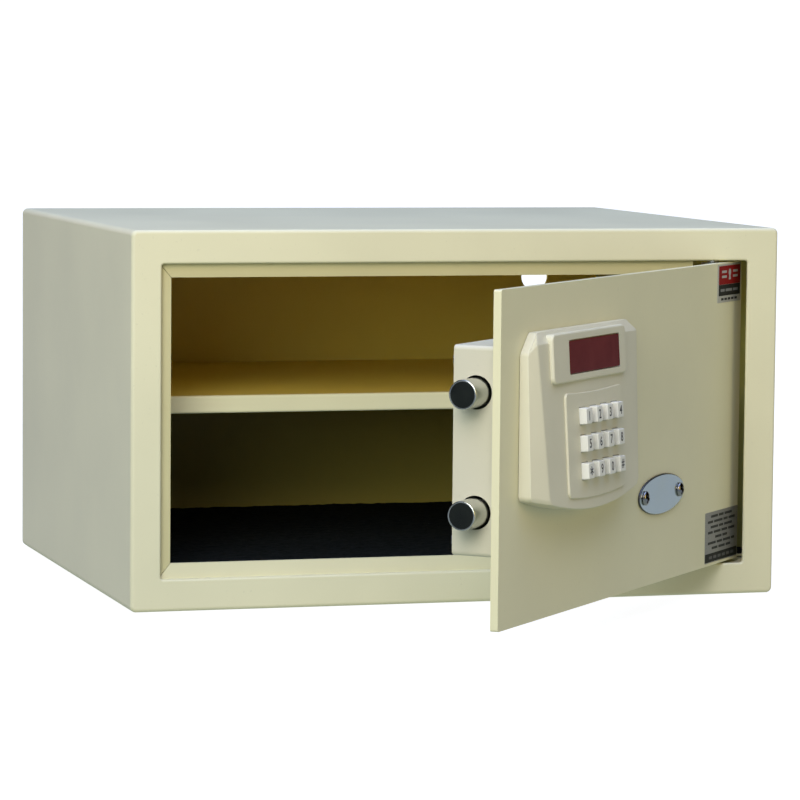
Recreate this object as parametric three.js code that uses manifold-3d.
// Hotel room safe with a swing door, two motor-driven bolts, a keypad lock, a shelf and a carpet mat.
// Units are millimetres. +Z is up, the door faces -Y, and the origin is the centre of the underside.
// The door stands open at REST_OPENING. Door pieces are drawn in the closed position and turned with it.
import * as THREE from "three";
import { mergeVertices } from "three/addons/utils/BufferGeometryUtils.js";
import Module from "manifold-3d";

const wasm = await Module();
wasm.setup();

// ---------------------------------------------------------------- driving dimensions
// Below, y is counted from the front face of the cabinet and grows towards its back.
const WIDTH = 450;
const HEIGHT = 250;
const DEPTH = 365;
const SHEET = 2; // cabinet steel
const GAP = 0.3; // paint and weld gap between pieces that touch
const CORNER = 4; // outer bend radius of the cabinet

const OPENING = { left: -204.8, right: 203, bottom: 21.2, top: 228 }; // in the front border
const STOP = { front: 6, back: 8, leftEdge: -197.2, bottomEdge: 31.2, topEdge: 218.8, end: 165.5 };

const PIVOT = { x: 183, y: 14 }; // hinge axis, parallel to Z
const REST_OPENING = THREE.MathUtils.degToRad(48);
const PLATE = { hingeEdge: 201.2, width: 405, thickness: 5, bottom: 22.7, height: 204 };

const SHELF = { top: 135, front: 75, back: 360, lip: 12, sheet: 1.2 };
const TRAY = { top: 22, front: 8.6, back: 362.3, halfWidth: 221.5, sheet: 1.5 };
const MAT = { thickness: 4, inset: 1.5 };
const HINGE_NOTCH = { left: 155, back: 40 }; // floor cut away where the door's hinge edge swings

const BACK_HOLES = { radius: 10.5, x: 172.5, z: 197 };
const BASE_HOLES = { radius: 6, x: 150, yFront: 70, yBack: 300, accessRadius: 13 };

const HOUSING = { left: -190.6, right: 96.4, bottom: 65.2, top: 192.1, back: 36.5, sheet: 1.5 };
const BOLT = { radius: 9, y: 21.6, upperZ: 164.1, lowerZ: 91.8, throw: 20, length: 74, hole: 10.3 };
const CARRIER = { thickness: 4, bottom: 80, top: 177, yFront: 12.5, yBack: 30.7 };
const GEAR = { module: 1.25, teeth: 14, pressure: THREE.MathUtils.degToRad(20), thinning: 0.12 };
const RACK = { pitchY: 26, backY: 30.6, bottom: 125.6, top: 131.6, end: -60, addendum: 1 };
const PINION_X = -88.8;
const MOTOR = { bottom: 134, top: 167, halfX: 6, halfY: 5 };

const CELL = { radius: 7.1, length: 50.5, pitch: 15.5, y: 23, x: 51, z: 142 };
const CELL_BOX = { left: 20, right: 82, bottom: 108, top: 176, front: 14, back: 34.5, wall: 1.5 };
const CELL_WINDOW = { left: 22, right: 80, bottom: 110, top: 174 };
const RESET = { x: 5, z: 82, radius: 3.2, flange: 4.8 };

const OVERRIDE = { x: 56.2, z: 80.6, barrel: 9.5, plug: 6, screwSpacing: 61 };
const COVER = { halfWidth: 39.6, halfHeight: 13.1, thickness: 1.2, screwHead: 4.5, headHeight: 1.6 };

// Keypad bezel: a wedge that is deeper at its foot, so its face leans back. Its foot is a shallow arc.
const BEZEL = { x: -91, halfWidth: 85, top: 199.3, foot: 87, bow: 0.0016, chamfer: 12.5, wall: 2 };
const RIM = { depth: 5.5, slope: 0.033 }; // height of the bezel's outer wall at FACE.z, growing downwards
const FACE = { z: 198, depth: 10.45, slope: 0.06 }; // the same for its face
const DISPLAY = { left: -154.2, right: -38.5, bottom: 167.3, top: 197.5, raise: 2 };
const WINDOW = { left: -129.6, right: -49.4, bottom: 171.9, top: 192.6 };
const PANEL = { left: -136.2, right: -46.9, bottom: 96.2, top: 160.6, raise: 1 };
const KEY = { width: 9.7, height: 10.3, proud: 5.5, pitch: 16.85, x: -86.4, topRow: 145.5 };
const KEY_ROWS = [
  ["1", "2", "3", "4"],
  ["5", "6", "7", "8"],
  ["star", "9", "0", "hash"],
];

// ---------------------------------------------------------------- materials
const paint = (color, roughness, metalness = 0) =>
  new THREE.MeshStandardMaterial({ color, roughness, metalness });
const CREAM = paint(0xd9d6b2, 0.45);
const INNER_CREAM = paint(0xc9b980, 0.5);
const HOUSING_GREY = paint(0xcfd0c6, 0.5);
const BEZEL_PLASTIC = paint(0xc8c5b4, 0.45);
const KEY_WHITE = paint(0xe9e9e2, 0.4);
const LENS_RED = paint(0x5a2a30, 0.2);
const CHROME = paint(0xc8ccd2, 0.15, 1);
const STEEL = paint(0x9a9da0, 0.35, 1);
const CARPET = paint(0x101418, 0.95);
const BOARD = paint(0x1d5a34, 0.6);
const BLACK_PLASTIC = paint(0x1b1b1d, 0.5);
const SILICONE = paint(0x8c8f92, 0.7);
const CELL_WRAP = paint(0x2c3e70, 0.35);

// ---------------------------------------------------------------- shape helpers
const box = (x0, x1, y0, y1, z0, z1) =>
  new THREE.BoxGeometry(x1 - x0, y1 - y0, z1 - z0).translate((x0 + x1) / 2, (y0 + y1) / 2, (z0 + z1) / 2);

const cylinder = (radius, from, to, axis, segments) => {
  const made = new THREE.CylinderGeometry(radius, radius, to - from, segments);
  made.translate(0, (from + to) / 2, 0);
  if (axis === "z") made.rotateX(Math.PI / 2);
  if (axis === "x") made.rotateZ(-Math.PI / 2);
  return made;
};
// A round bar along Y centred on (x, z), or along Z centred on (x, y).
const barY = (radius, x, z, y0, y1, segments = 24) =>
  cylinder(radius, y0, y1, "y", segments).translate(x, 0, z);
const barZ = (radius, x, y, z0, z1, segments = 24) =>
  cylinder(radius, z0, z1, "z", segments).translate(x, y, 0);
const barX = (radius, y, z, x0, x1, segments = 24) =>
  cylinder(radius, x0, x1, "x", segments).translate(0, y, z);

const outline = (points) => new THREE.Shape(points.map(([a, b]) => new THREE.Vector2(a, b)));
const roundedRectangle = (x0, x1, z0, z1, radius) => {
  const shape = new THREE.Shape();
  shape.moveTo(x0 + radius, z0);
  shape.lineTo(x1 - radius, z0);
  shape.absarc(x1 - radius, z0 + radius, radius, -Math.PI / 2, 0);
  shape.lineTo(x1, z1 - radius);
  shape.absarc(x1 - radius, z1 - radius, radius, 0, Math.PI / 2);
  shape.lineTo(x0 + radius, z1);
  shape.absarc(x0 + radius, z1 - radius, radius, Math.PI / 2, Math.PI);
  shape.lineTo(x0, z0 + radius);
  shape.absarc(x0 + radius, z0 + radius, radius, Math.PI, Math.PI * 1.5);
  return shape;
};
const extrude = (shape, depth, curveSegments) =>
  new THREE.ExtrudeGeometry(shape, { depth, bevelEnabled: false, curveSegments });
// An outline in X and Z made solid from y0 to y1.
const prismY = (shape, y0, y1, curveSegments = 6) =>
  extrude(shape, y1 - y0, curveSegments).rotateX(Math.PI / 2).translate(0, y1, 0);
// An outline in X and Y made solid from z0 to z1.
const prismZ = (shape, z0, z1, curveSegments = 6) =>
  extrude(shape, z1 - z0, curveSegments).translate(0, 0, z0);
// An outline in Y and Z made solid from x0 to x1.
const YZ_TO_X = new THREE.Matrix4().makeBasis(
  new THREE.Vector3(0, 1, 0),
  new THREE.Vector3(0, 0, 1),
  new THREE.Vector3(1, 0, 0),
);
const prismX = (shape, x0, x1, curveSegments = 6) =>
  extrude(shape, x1 - x0, curveSegments).applyMatrix4(YZ_TO_X).translate(x0, 0, 0);

// Joins rings of equally many points into one closed body: flat or gently bent ends, straight sides.
const loft = (rings) => {
  const count = rings[0].length;
  const positions = rings.flat().flatMap((p) => [p.x, p.y, p.z]);
  const flat = (ring) => ring.map((p) => new THREE.Vector2(p.x, p.z));
  const triangles = THREE.ShapeUtils.triangulateShape(flat(rings[0]), []);
  const last = (rings.length - 1) * count;
  const index = [];
  for (const [a, b, c] of triangles) {
    index.push(a, c, b);
    index.push(last + a, last + b, last + c);
  }
  for (let ring = 0; ring < rings.length - 1; ring += 1)
    for (let i = 0; i < count; i += 1) {
      const [a, b] = [ring * count + i, ring * count + ((i + 1) % count)];
      index.push(a, b, b + count, a, b + count, a + count);
    }
  const made = new THREE.BufferGeometry();
  made.setAttribute("position", new THREE.Float32BufferAttribute(positions, 3));
  made.setIndex(index);
  return made;
};

// ---------------------------------------------------------------- joining and cutting
const solid = (geometry) => {
  const bare = geometry.clone();
  bare.deleteAttribute("normal");
  bare.deleteAttribute("uv");
  const merged = mergeVertices(bare, 1e-4);
  const vertProperties = new Float32Array(merged.attributes.position.array);
  const triVerts = new Uint32Array(merged.index.array);
  return new wasm.Manifold(new wasm.Mesh({ numProp: 3, vertProperties, triVerts }));
};
const geometryOf = (made) => {
  const mesh = made.getMesh();
  const geometry = new THREE.BufferGeometry();
  geometry.setAttribute("position", new THREE.BufferAttribute(mesh.vertProperties, 3));
  geometry.setIndex(new THREE.BufferAttribute(mesh.triVerts, 1));
  return geometry;
};
const combine = (base, { add = [], cut = [] }) => {
  let made = solid(base);
  for (const piece of add) made = made.add(solid(piece));
  for (const piece of cut) made = made.subtract(solid(piece));
  return geometryOf(made);
};

const place = (group, name, geometry, material) => {
  const mesh = new THREE.Mesh(geometry, material);
  mesh.name = name;
  group.add(mesh);
  return mesh;
};

// ---------------------------------------------------------------- cabinet
function cabinetShell() {
  const half = WIDTH / 2;
  const outside = prismY(roundedRectangle(-half, half, 0, HEIGHT, CORNER), 0, DEPTH);
  const inner = roundedRectangle(-half + SHEET, half - SHEET, SHEET, HEIGHT - SHEET, CORNER - SHEET);
  const hollow = prismY(inner, SHEET, DEPTH + 1);
  const { left, right, bottom, top } = OPENING;
  const doorway = prismY(roundedRectangle(left, right, bottom, top, 2), -1, SHEET + 1, 4);
  const holes = [];
  for (const x of [-BASE_HOLES.x, BASE_HOLES.x])
    for (const y of [BASE_HOLES.yFront, BASE_HOLES.yBack])
      holes.push(barZ(BASE_HOLES.radius, x, y, -1, SHEET + 1));
  return combine(outside, { cut: [hollow, doorway, ...holes] });
}

function backPanel() {
  const edge = WIDTH / 2 - SHEET - GAP;
  const shape = roundedRectangle(-edge, edge, SHEET + GAP, HEIGHT - SHEET - GAP, CORNER - SHEET);
  const holes = [-BACK_HOLES.x, BACK_HOLES.x].map((x) =>
    barY(BACK_HOLES.radius, x, BACK_HOLES.z, DEPTH - SHEET - 1, DEPTH + 1, 32),
  );
  return combine(prismY(shape, DEPTH - SHEET, DEPTH), { cut: holes });
}

// The three angle strips that the closed door rests against. Each has a leaf that faces the door and a
// wall that runs forward to the border, and they meet in mitred corners.
const STOP_WALL = 2;
const MITRE_GAP = 0.15;
const stopOuter = {
  left: OPENING.left - STOP_WALL,
  bottom: OPENING.bottom - STOP_WALL,
  top: OPENING.top + STOP_WALL,
};
// A cutter on one side of the line from the outer corner to the inner corner of a mitre.
function mitreCutter(corner, shift) {
  const top = corner === "top";
  const outer = [stopOuter.left, top ? stopOuter.top : stopOuter.bottom];
  const inner = [STOP.leftEdge, top ? STOP.topEdge : STOP.bottomEdge];
  const along = [inner[0] - outer[0], inner[1] - outer[1]];
  const length = Math.hypot(...along);
  const unit = along.map((v) => v / length);
  const normal = [unit[1], -unit[0]];
  const reach = 30;
  const width = shift * reach;
  const at = (a, b) => [0, 1].map((i) => outer[i] + unit[i] * a + normal[i] * b);
  const edge = -MITRE_GAP * shift;
  const corners = [at(-reach, edge), at(reach, edge), at(reach, width), at(-reach, width)];
  const shape = outline(corners);
  return prismY(shape, STOP.front - 10, STOP.back + 10);
}
function doorStopTop() {
  const { left, top } = stopOuter;
  const leaf = box(left, STOP.end, STOP.front, STOP.back, STOP.topEdge, top);
  const wall = box(left, STOP.end, SHEET + GAP, STOP.back, OPENING.top, top);
  return combine(leaf, { add: [wall], cut: [mitreCutter("top", 1)] });
}
function doorStopBottom() {
  const { left, bottom } = stopOuter;
  const leaf = box(left, STOP.end, STOP.front, STOP.back, bottom, STOP.bottomEdge);
  const wall = box(left, STOP.end, SHEET + GAP, STOP.back, bottom, OPENING.bottom);
  return combine(leaf, { add: [wall], cut: [mitreCutter("bottom", -1)] });
}
function doorStopLeft() {
  const { left, bottom, top } = stopOuter;
  const leaf = box(left, STOP.leftEdge, STOP.front, STOP.back, bottom, top);
  const wall = box(left, OPENING.left, SHEET + GAP, STOP.back, bottom, top);
  const cut = [mitreCutter("top", -1), mitreCutter("bottom", 1)];
  return combine(leaf, { add: [wall], cut });
}

function shelf() {
  const { top, front, back, lip, sheet } = SHELF;
  const foot = top - lip;
  const hem = front + 7;
  const side = WIDTH / 2 - SHEET - 0.8;
  const profile = outline([
    [front, top],
    [front, foot],
    [hem, foot],
    [hem, foot + sheet],
    [front + sheet, foot + sheet],
    [front + sheet, top - sheet],
    [back, top - sheet],
    [back, top],
  ]);
  return prismX(profile, -side, side);
}
function shelfBracket(side) {
  const wall = WIDTH / 2 - SHEET - GAP;
  const top = SHELF.top - SHELF.sheet - GAP;
  const [sheet, leaf, drop] = [1.5, 14, 15];
  const profile = outline([
    [side * wall, top],
    [side * wall, top - drop],
    [side * (wall - sheet), top - drop],
    [side * (wall - sheet), top - sheet],
    [side * (wall - leaf), top - sheet],
    [side * (wall - leaf), top],
  ]);
  return prismY(profile, SHELF.front + 15, SHELF.back - 10);
}

const hingeNotch = (z0, z1) => box(HINGE_NOTCH.left, WIDTH, -1, HINGE_NOTCH.back, z0, z1);
function floorTray() {
  const { top, front, back, halfWidth, sheet } = TRAY;
  const foot = SHEET + 0.5;
  const outside = box(-halfWidth, halfWidth, front, back, foot, top);
  const side = halfWidth - sheet;
  const under = box(-side, side, front + sheet, back - sheet, foot - 1, top - sheet);
  const holes = [];
  for (const x of [-BASE_HOLES.x, BASE_HOLES.x])
    for (const y of [BASE_HOLES.yFront, BASE_HOLES.yBack])
      holes.push(barZ(BASE_HOLES.accessRadius, x, y, top - sheet - 1, top + 1));
  return combine(outside, { cut: [under, hingeNotch(0, top + 1), ...holes] });
}
function carpetMat() {
  const { top, front, back, halfWidth } = TRAY;
  const [foot, head] = [top + GAP, top + GAP + MAT.thickness];
  const side = halfWidth - MAT.inset;
  const whole = box(-side, side, front + MAT.inset, back - MAT.inset, foot, head);
  return combine(whole, { cut: [hingeNotch(0, head + 1)] });
}

// Hinge: a pin held in a bracket behind the border, running in a block welded to the door plate.
const HINGE = { pin: 4, bore: 4.25, sheet: 3, left: 166.5, right: 219, back: 38.5, block: 26 };
const hingeLeaf = {
  top: [229.5, 229.5 + HINGE.sheet],
  bottom: [17, 17 + HINGE.sheet],
};
function hingeBracket(end) {
  const [low, high] = hingeLeaf[end];
  const front = SHEET + GAP;
  const leaf = box(HINGE.left, HINGE.right, front, HINGE.back, low, high);
  const upright =
    end === "top"
      ? box(HINGE.left, HINGE.right, front, front + HINGE.sheet, low, HEIGHT - SHEET - GAP)
      : box(HINGE.left, HINGE.right, front, front + HINGE.sheet, SHEET + GAP, high);
  const bore = barZ(HINGE.bore, PIVOT.x, PIVOT.y, low - 1, high + 1);
  return combine(leaf, { add: [upright], cut: [bore] });
}
function hingePin(end) {
  const [low, high] = hingeLeaf[end];
  const head = { radius: 6.5, height: 2 };
  const reach = 24;
  const top = end === "top";
  const headLow = top ? high + GAP : low - GAP - head.height;
  const shank = top
    ? barZ(HINGE.pin, PIVOT.x, PIVOT.y, low - reach, headLow + 1)
    : barZ(HINGE.pin, PIVOT.x, PIVOT.y, headLow + 1, high + reach);
  const cap = barZ(head.radius, PIVOT.x, PIVOT.y, headLow, headLow + head.height);
  return combine(shank, { add: [cap] });
}
function hingeBlock(end) {
  const top = end === "top";
  const high = top ? PLATE.bottom + PLATE.height - 0.7 : PLATE.bottom + 0.7 + HINGE.block;
  const low = high - HINGE.block;
  const front = PLATE.thickness + GAP;
  const body = box(PIVOT.x - 8, PIVOT.x + 10, front, PIVOT.y, low, high);
  const nose = barZ(8, PIVOT.x, PIVOT.y, low, high, 32);
  const bore = barZ(HINGE.bore, PIVOT.x, PIVOT.y, low - 1, high + 1);
  return combine(body, { add: [nose], cut: [bore] });
}

function buildCabinet(group) {
  place(group, "cabinet_shell", cabinetShell(), CREAM);
  place(group, "back_panel", backPanel(), INNER_CREAM);
  place(group, "door_stop_top", doorStopTop(), CREAM);
  place(group, "door_stop_left", doorStopLeft(), CREAM);
  place(group, "door_stop_bottom", doorStopBottom(), CREAM);
  place(group, "shelf", shelf(), INNER_CREAM);
  place(group, "shelf_bracket_left", shelfBracket(-1), INNER_CREAM);
  place(group, "shelf_bracket_right", shelfBracket(1), INNER_CREAM);
  place(group, "floor_tray", floorTray(), INNER_CREAM);
  place(group, "carpet_mat", carpetMat(), CARPET);
  for (const end of ["top", "bottom"]) {
    place(group, `hinge_bracket_${end}`, hingeBracket(end), CREAM);
    place(group, `hinge_pin_${end}`, hingePin(end), STEEL);
  }
}

// ---------------------------------------------------------------- door plate and lock housing
const FREE_EDGE = PLATE.hingeEdge - PLATE.width;
const POST = { radius: 3.5, fromSide: 8, fromTop: 9.5, fromFoot: 8.5 }; // threaded posts on the plate
const SCREW = { shank: 1.8, head: 3.8, headHeight: 2.2, length: 9 };
const CABLE_HOLE = { radius: 7, x: BEZEL.x + 25, z: 150 };

const posts = [HOUSING.left + POST.fromSide, HOUSING.right - POST.fromSide].flatMap((x) => [
  { x, z: HOUSING.top - POST.fromTop },
  { x, z: HOUSING.bottom + POST.fromFoot },
]);

function doorPlate() {
  const { thickness, bottom, height } = PLATE;
  const shape = roundedRectangle(FREE_EDGE, PLATE.hingeEdge, bottom, bottom + height, 1.5);
  const cut = [
    barY(CABLE_HOLE.radius, CABLE_HOLE.x, CABLE_HOLE.z, -1, thickness + 1),
    barY(OVERRIDE.barrel + GAP, OVERRIDE.x, OVERRIDE.z, -1, thickness + 1, 32),
  ];
  for (const side of [-0.5, 0.5])
    cut.push(barY(2.3, OVERRIDE.x + side * OVERRIDE.screwSpacing, OVERRIDE.z, -1, thickness + 1, 16));
  const end = HOUSING.back - HOUSING.sheet - GAP;
  const add = posts.map(({ x, z }) => barY(POST.radius, x, z, thickness - 1, end, 16));
  for (const { x, z } of posts) cut.push(barY(SCREW.shank + GAP, x, z, end - SCREW.length, end + 1, 12));
  return combine(prismY(shape, 0, thickness, 3), { add, cut });
}

function lockHousing() {
  const { left, right, bottom, top, back, sheet } = HOUSING;
  const front = PLATE.thickness + GAP;
  const outside = prismY(roundedRectangle(left, right, bottom, top, 3), front, back, 4);
  const hollow = box(left + sheet, right - sheet, front - 1, back - sheet, bottom + sheet, top - sheet);
  const cut = [hollow];
  for (const z of [BOLT.upperZ, BOLT.lowerZ])
    cut.push(barX(BOLT.hole, BOLT.y, z, left - 1, left + sheet + 1, 32));
  for (const { x, z } of posts) cut.push(barY(SCREW.shank + GAP, x, z, back - sheet - 1, back + 1, 12));
  const { left: x0, right: x1, bottom: z0, top: z1 } = CELL_WINDOW;
  cut.push(box(x0, x1, back - sheet - 1, back + 1, z0, z1));
  cut.push(barY(RESET.radius + GAP, RESET.x, RESET.z, back - sheet - 1, back + 1));
  return combine(outside, { cut });
}

function housingScrew(x, z) {
  const seat = HOUSING.back + GAP;
  const shank = barY(SCREW.shank, x, z, seat - SCREW.length, seat + 1, 12);
  const head = barY(SCREW.head, x, z, seat, seat + SCREW.headHeight, 20);
  return combine(shank, { add: [head] });
}

// ---------------------------------------------------------------- boltwork and its drive
const PITCH_RADIUS = (GEAR.module * GEAR.teeth) / 2;
const TIP_X = HOUSING.left - BOLT.throw;
const CARRIER_FACE = TIP_X + BOLT.length + GAP;

function lockBolt(z) {
  const chamfer = 1;
  const profile = [
    [0, 0],
    [BOLT.radius - chamfer, 0],
    [BOLT.radius, chamfer],
    [BOLT.radius, BOLT.length],
    [0, BOLT.length],
  ].map(([r, along]) => new THREE.Vector2(r, along));
  const turned = new THREE.LatheGeometry(profile, 32);
  return turned.rotateZ(-Math.PI / 2).translate(TIP_X, BOLT.y, z);
}

// The rack's outline in X and Y. Its teeth point to -Y, and a gap is centred on the pinion.
function rackOutline() {
  const pitch = Math.PI * GEAR.module;
  const tilt = Math.tan(GEAR.pressure);
  const root = RACK.pitchY + 1.25 * GEAR.module;
  const tip = RACK.pitchY - RACK.addendum;
  const half = pitch / 4 - GEAR.thinning / 2;
  const [before, after] = [7, 7];
  const points = [[CARRIER_FACE + CARRIER.thickness - 1, root]];
  for (let i = -before; i < after; i += 1) {
    const centre = PINION_X + (i + 0.5) * pitch;
    points.push([centre - half - tilt * (root - RACK.pitchY), root]);
    points.push([centre - half + tilt * (RACK.pitchY - tip), tip]);
    points.push([centre + half - tilt * (RACK.pitchY - tip), tip]);
    points.push([centre + half + tilt * (root - RACK.pitchY), root]);
  }
  points.push([RACK.end, root], [RACK.end, RACK.backY]);
  points.push([CARRIER_FACE + CARRIER.thickness - 1, RACK.backY]);
  return outline(points);
}
function boltCarrier() {
  const { thickness, bottom, top, yFront, yBack } = CARRIER;
  const plate = box(CARRIER_FACE, CARRIER_FACE + thickness, yFront, yBack, bottom, top);
  return combine(plate, { add: [prismZ(rackOutline(), RACK.bottom, RACK.top)] });
}

// An involute spur gear outline about the origin with a tooth centred on +Y.
function pinionOutline() {
  const base = PITCH_RADIUS * Math.cos(GEAR.pressure);
  const tip = PITCH_RADIUS + GEAR.module;
  const root = PITCH_RADIUS - 1.25 * GEAR.module;
  const involute = (angle) => Math.tan(angle) - angle;
  const halfAtPitch = Math.PI / 2 / GEAR.teeth - GEAR.thinning / 2 / PITCH_RADIUS;
  const halfAt = (radius) =>
    halfAtPitch + involute(GEAR.pressure) - involute(Math.acos(Math.min(1, base / radius)));
  const radii = [base, PITCH_RADIUS - 0.2, PITCH_RADIUS + 0.5, tip];
  const points = [];
  for (let tooth = 0; tooth < GEAR.teeth; tooth += 1) {
    const centre = Math.PI / 2 + (tooth * 2 * Math.PI) / GEAR.teeth;
    const at = (radius, angle) => [radius * Math.cos(angle), radius * Math.sin(angle)];
    points.push(at(root, centre - halfAt(base)));
    for (const radius of radii) points.push(at(radius, centre - halfAt(radius)));
    for (const radius of radii.toReversed()) points.push(at(radius, centre + halfAt(radius)));
    points.push(at(root, centre + halfAt(base)));
  }
  return outline(points);
}
const PINION_Y = RACK.pitchY - PITCH_RADIUS;
function drivePinion() {
  const gear = prismZ(pinionOutline(), RACK.bottom, RACK.top);
  const shaft = barZ(1.5, 0, 0, RACK.top - 1, MOTOR.bottom + 4, 16);
  const hub = barZ(4, 0, 0, RACK.bottom - 3, RACK.bottom + 1, 20);
  return combine(gear, { add: [shaft, hub] }).translate(PINION_X, PINION_Y, 0);
}
function gearMotor() {
  const { bottom, top, halfX, halfY } = MOTOR;
  const x = PINION_X;
  const gearbox = box(x - halfX, x + halfX, PINION_Y - halfY, PINION_Y + halfY, bottom, bottom + 9);
  const can = roundedRectangle(x - halfX, x + halfX, PINION_Y - halfY, PINION_Y + halfY, 3.5);
  const motor = prismZ(can, bottom + 8, top, 4);
  const boss = barZ(2, x, PINION_Y, top - 1, top + 1, 12);
  const bore = barZ(1.9, x, PINION_Y, bottom - 1, bottom + 5, 16);
  return combine(gearbox, { add: [motor, boss], cut: [bore] });
}
function motorBracket() {
  const { bottom, top, halfX, halfY } = MOTOR;
  const x = PINION_X;
  const front = PLATE.thickness + GAP;
  const seat = PINION_Y - halfY - GAP;
  const bed = box(x - halfX - 2, x + halfX + 2, front, seat, bottom + 1, top - 3);
  const wing = box(x + halfX + GAP, x + halfX + 2, seat - 1, PINION_Y + halfY, bottom + 1, top - 3);
  const foot = box(x - halfX - 2, x + halfX + 8, front, front + 1.5, bottom + 1, top - 3);
  return combine(bed, { add: [wing, foot] });
}
function carrierGuide() {
  const clearance = 0.5;
  const front = PLATE.thickness + GAP;
  const block = box(-74, -66, front, HOUSING.back - HOUSING.sheet - GAP, 119, 138);
  const channel = box(
    -75,
    -65,
    RACK.pitchY - RACK.addendum - clearance,
    RACK.backY + clearance,
    RACK.bottom - clearance,
    RACK.top + clearance,
  );
  return combine(block, { cut: [channel] });
}

// ---------------------------------------------------------------- power and control
function batteryBox() {
  const { left, right, bottom, top, front, back, wall } = CELL_BOX;
  const outside = box(left, right, front, back, bottom, top);
  const inside = box(left + wall, right - wall, front + wall, back + 1, bottom + wall, top - wall);
  const [bite, ribHeight, ribHalf] = [0.5, 4, 0.3];
  const [x0, x1] = [left + wall - bite, right - wall + bite];
  const floor = front + wall;
  const ribs = [-1, 0, 1].map((i) => {
    const z = CELL.z + i * CELL.pitch;
    return box(x0, x1, floor - bite, floor + ribHeight, z - ribHalf, z + ribHalf);
  });
  let made = solid(outside).subtract(solid(inside));
  for (const rib of ribs) made = made.add(solid(rib));
  return geometryOf(made);
}
function batteryCell(i) {
  const z = CELL.z + (i - 1.5) * CELL.pitch;
  const half = CELL.length / 2;
  const way = i % 2 ? 1 : -1;
  const can = barX(CELL.radius, CELL.y, z, CELL.x - half + 0.5, CELL.x + half - 0.5, 28);
  const [n0, n1] = way > 0 ? [half - 1, half + 0.8] : [-half - 0.8, -half + 1];
  const nub = barX(2.7, CELL.y, z, CELL.x + n0, CELL.x + n1, 16);
  return combine(can, { add: [nub] });
}
function batteryDoor() {
  const { left, right, bottom, top } = CELL_WINDOW;
  const [lip, back] = [3, HOUSING.back + GAP];
  const flange = roundedRectangle(left - lip, right + lip, bottom - lip, top + lip, 2);
  const lid = prismY(flange, back, back + 1.5, 3);
  const plug = box(left + GAP, right - GAP, back - 1.8, back + 0.5, bottom + GAP, top - GAP);
  const grip = box(46, 56, back + 1, back + 3, top - 6, top - 3);
  return combine(lid, { add: [plug, grip] });
}
function controlBoard() {
  const board = box(-36, 14, 9, 10.6, 74, 184);
  const chip = box(-20, -2, 10.1, 12.6, 120, 138);
  const relay = box(-32, -18, 10.1, 24, 84, 100);
  const connector = box(-30, -8, 10.1, 18, 170, 178);
  const capacitor = barY(5, 2, 160, 10.1, 24, 16);
  return combine(board, { add: [chip, relay, connector, capacitor] });
}
function resetButton() {
  const inner = HOUSING.back - HOUSING.sheet - GAP;
  const stem = barY(RESET.radius, RESET.x, RESET.z, inner - 4, HOUSING.back + 1.8, 20);
  const flange = barY(RESET.flange, RESET.x, RESET.z, inner - 1.5, inner, 20);
  return combine(stem, { add: [flange] });
}

// ---------------------------------------------------------------- emergency key lock
const NUT = { radius: 13, height: 4 };
function overrideCylinder() {
  const back = 27;
  const barrel = barY(OVERRIDE.barrel, OVERRIDE.x, OVERRIDE.z, 0.2, back, 32);
  const seat = PLATE.thickness + GAP;
  const nut = barY(NUT.radius, OVERRIDE.x, OVERRIDE.z, seat, seat + NUT.height, 6);
  const bore = barY(OVERRIDE.plug + 0.25, OVERRIDE.x, OVERRIDE.z, -1, back + 1, 32);
  return combine(barrel, { add: [nut], cut: [bore] });
}
function overridePlug() {
  const plug = barY(OVERRIDE.plug, OVERRIDE.x, OVERRIDE.z, 0.4, 28.5, 32);
  const { x, z } = OVERRIDE;
  const keyway = box(x - 0.9, x + 0.9, -1, 18, z - 4.2, z + 4.2);
  return combine(plug, { cut: [keyway] });
}
function overrideCam() {
  const { x, z } = OVERRIDE;
  const lever = roundedRectangle(x - 4, x + 4, z - 4, z + 24, 3.9);
  return prismY(lever, 28.8, 30.8, 5);
}
function overrideCover() {
  const { x, z } = OVERRIDE;
  const oval = new THREE.Shape();
  oval.absellipse(x, z, COVER.halfWidth, COVER.halfHeight, 0, 2 * Math.PI);
  const holes = [-0.5, 0.5].map((side) =>
    barY(2.3, x + side * OVERRIDE.screwSpacing, z, -COVER.thickness - 2, 1, 16),
  );
  return combine(prismY(oval, -COVER.thickness - GAP, -GAP, 24), { cut: holes });
}
function overrideScrew(side) {
  const x = OVERRIDE.x + (side * OVERRIDE.screwSpacing) / 2;
  const seat = -COVER.thickness - 2 * GAP;
  const shank = barY(2, x, OVERRIDE.z, seat - 1, PLATE.thickness - 0.5, 16);
  const head = barY(COVER.screwHead, x, OVERRIDE.z, seat - COVER.headHeight, seat, 24);
  return combine(shank, { add: [head] });
}

// ---------------------------------------------------------------- keypad
const faceDepth = (z) => FACE.depth + FACE.slope * (FACE.z - z);
const rimDepth = (z) => RIM.depth + RIM.slope * (FACE.z - z);
// Points round the bezel, seen from the front and drawn in by the insets of its sides, foot and top.
function bezelOutline({ side, foot, top }, depthAt) {
  const { x, halfWidth, chamfer, bow } = BEZEL;
  const head = BEZEL.top - top;
  const half = (z) => halfWidth - side(z);
  const arc = (across) => BEZEL.foot + foot + bow * across ** 2;
  const end = half(BEZEL.foot) - 2;
  const steps = 14;
  const points = [];
  for (let i = 0; i <= steps; i += 1) {
    const across = end * (-1 + (2 * i) / steps);
    points.push([x + across, arc(across)]);
  }
  const corner = arc(end) + 2;
  points.push([x + half(corner), corner]);
  points.push([x + half(head - chamfer), head - chamfer]);
  points.push([x + half(head) - chamfer, head]);
  points.push([x - half(head) + chamfer, head]);
  points.push([x - half(head - chamfer), head - chamfer]);
  points.push([x - half(corner), corner]);
  return points.map(([px, pz]) => new THREE.Vector3(px, -depthAt(pz), pz));
}
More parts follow.
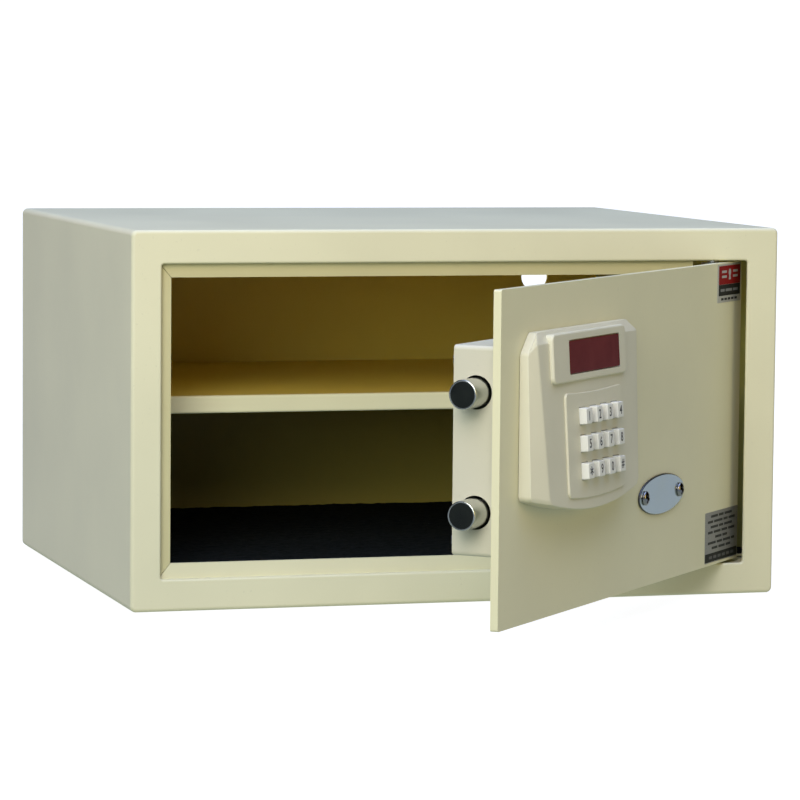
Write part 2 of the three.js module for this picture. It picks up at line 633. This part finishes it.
const frontSide = (z) => 3 + (9 * (FACE.z - z)) / (FACE.z - BEZEL.foot);
const bezelBody = () =>
  loft([
    bezelOutline({ side: () => 0, foot: 0, top: 0 }, () => GAP),
    bezelOutline({ side: () => 0, foot: 0, top: 0 }, rimDepth),
    bezelOutline({ side: frontSide, foot: 0.8, top: 1.2 }, faceDepth),
  ]);
const bezelHollow = () =>
  loft([
    bezelOutline({ side: () => BEZEL.wall, foot: 2, top: 2 }, () => -1),
    bezelOutline({ side: () => BEZEL.wall, foot: 2, top: 2 }, (z) => rimDepth(z) - 1),
    bezelOutline({ side: (z) => frontSide(z) + 2, foot: 3, top: 3 }, (z) => faceDepth(z) - BEZEL.wall),
  ]);

// The leaning face: in this frame y = 0 is the face and z is measured along it from FACE.z.
const FACE_ANGLE = Math.atan(FACE.slope);
const faceZ = (z) => (z - FACE.z) / Math.cos(FACE_ANGLE);
const onFace = new THREE.Matrix4()
  .makeTranslation(0, -FACE.depth, FACE.z)
  .multiply(new THREE.Matrix4().makeRotationX(-FACE_ANGLE));
const facePlate = ({ left, right, bottom, top }, radius, y0, y1) =>
  prismY(roundedRectangle(left, right, faceZ(bottom), faceZ(top), radius), y0, y1, 4).applyMatrix4(onFace);
const faceBox = (x0, x1, y0, y1, z0, z1) => box(x0, x1, y0, y1, z0, z1).applyMatrix4(onFace);

const keyCentres = KEY_ROWS.flatMap((row, r) =>
  row.map((label, c) => ({
    label,
    x: KEY.x + (c - 1.5) * KEY.pitch,
    z: faceZ(KEY.topRow - r * KEY.pitch),
  })),
);
const LENS_SEAT = 1.8;
function keypadBezel() {
  const add = [
    facePlate(DISPLAY, 3, -DISPLAY.raise, 1),
    facePlate(PANEL, 3, -PANEL.raise, 1),
  ];
  const { left, right, bottom, top } = WINDOW;
  const inner = { left: left + 2, right: right - 2, bottom: bottom + 2, top: top - 2 };
  const cut = [facePlate(WINDOW, 1, -5, LENS_SEAT - DISPLAY.raise), facePlate(inner, 1, -5, 6)];
  for (const { x, z } of keyCentres) {
    const [w, h] = [KEY.width / 2 + 0.4, KEY.height / 2 + 0.4];
    cut.push(faceBox(x - w, x + w, -5, 4, z - h, z + h));
  }
  let made = solid(bezelBody()).subtract(solid(bezelHollow()));
  for (const piece of add) made = made.add(solid(piece));
  for (const piece of cut) made = made.subtract(solid(piece));
  return geometryOf(made);
}
function displayWindow() {
  const { left, right, bottom, top } = WINDOW;
  const lens = { left: left + GAP, right: right - GAP, bottom: bottom + GAP, top: top - GAP };
  const seat = LENS_SEAT - DISPLAY.raise - GAP;
  return facePlate(lens, 0.8, seat - 1, seat);
}
function displayModule() {
  const { left, right, bottom, top } = WINDOW;
  const body = faceBox(left + 4, right - 4, 2.4, 5.4, faceZ(bottom + 3), faceZ(top - 3));
  const board = faceBox(left - 4, right + 4, 5, 6.4, faceZ(bottom), faceZ(top - 2));
  return combine(body, { add: [board] });
}
const KEY_FLANGE = { front: 2.4, thickness: 1.2, margin: 1.5 };
function keyCap({ x, z }) {
  const [w, h] = [KEY.width / 2, KEY.height / 2];
  const { front, thickness, margin } = KEY_FLANGE;
  const draft = 0.35;
  const ring = (inset, y) =>
    [
      [x - w + inset, z - h + inset],
      [x + w - inset, z - h + inset],
      [x + w - inset, z + h - inset],
      [x - w + inset, z + h - inset],
    ].map(([px, pz]) => new THREE.Vector3(px, y, pz));
  const cap = loft([
    ring(0, front + 0.5),
    ring(0, -PANEL.raise),
    ring(draft, 0.6 - KEY.proud),
    ring(1, -KEY.proud),
  ]);
  const [fw, fh] = [w + margin, h + margin];
  const flange = box(x - fw, x + fw, front, front + thickness, z - fh, z + fh);
  return combine(cap, { add: [flange] }).applyMatrix4(onFace);
}
const MAT_Y = 5.5; // front of the rubber key mat, clear of a fully pressed key
function keyMat() {
  const [z0, z1] = [faceZ(PANEL.bottom + 4), faceZ(PANEL.top - 3)];
  return faceBox(PANEL.left + 4, PANEL.right - 3, MAT_Y, MAT_Y + 1.2, z0, z1);
}
function keypadBoard() {
  const [z0, z1] = [faceZ(PANEL.bottom + 3), faceZ(PANEL.top - 2)];
  return faceBox(PANEL.left + 2, PANEL.right - 2, MAT_Y + 1.5, MAT_Y + 3.1, z0, z1);
}

function buildDoor(group) {
  place(group, "door_plate", doorPlate(), CREAM);
  for (const end of ["top", "bottom"]) place(group, `hinge_block_${end}`, hingeBlock(end), STEEL);
  place(group, "lock_housing", lockHousing(), HOUSING_GREY);
  posts.forEach(({ x, z }, i) => place(group, `housing_screw_${i + 1}`, housingScrew(x, z), STEEL));

  place(group, "upper_bolt", lockBolt(BOLT.upperZ), CHROME);
  place(group, "lower_bolt", lockBolt(BOLT.lowerZ), CHROME);
  place(group, "bolt_carrier", boltCarrier(), STEEL);
  place(group, "drive_pinion", drivePinion(), STEEL);
  place(group, "gear_motor", gearMotor(), STEEL);
  place(group, "motor_bracket", motorBracket(), STEEL);
  place(group, "carrier_guide", carrierGuide(), BLACK_PLASTIC);

  place(group, "battery_box", batteryBox(), BLACK_PLASTIC);
  for (let i = 0; i < 4; i += 1) place(group, `battery_cell_${i + 1}`, batteryCell(i), CELL_WRAP);
  place(group, "battery_door", batteryDoor(), HOUSING_GREY);
  place(group, "control_board", controlBoard(), BOARD);
  place(group, "reset_button", resetButton(), BLACK_PLASTIC);

  place(group, "override_cylinder", overrideCylinder(), STEEL);
  place(group, "override_plug", overridePlug(), STEEL);
  place(group, "override_cam", overrideCam(), STEEL);
  place(group, "override_cover", overrideCover(), CHROME);
  place(group, "override_screw_left", overrideScrew(-1), STEEL);
  place(group, "override_screw_right", overrideScrew(1), STEEL);

  place(group, "keypad_bezel", keypadBezel(), BEZEL_PLASTIC);
  place(group, "display_window", displayWindow(), LENS_RED);
  place(group, "display_module", displayModule(), BLACK_PLASTIC);
  place(group, "key_mat", keyMat(), SILICONE);
  place(group, "keypad_board", keypadBoard(), BOARD);
  for (const key of keyCentres) place(group, `key_${key.label}`, keyCap(key), KEY_WHITE);
}

// ---------------------------------------------------------------- assembly
const safe = new THREE.Group();
const cabinet = new THREE.Group();
cabinet.position.y = -DEPTH / 2;
safe.add(cabinet);
buildCabinet(cabinet);

const hinge = new THREE.Group();
hinge.position.set(PIVOT.x, PIVOT.y, 0);
hinge.rotation.z = REST_OPENING;
cabinet.add(hinge);
const door = new THREE.Group();
door.position.set(-PIVOT.x, -PIVOT.y, 0);
hinge.add(door);
buildDoor(door);

export default safe;
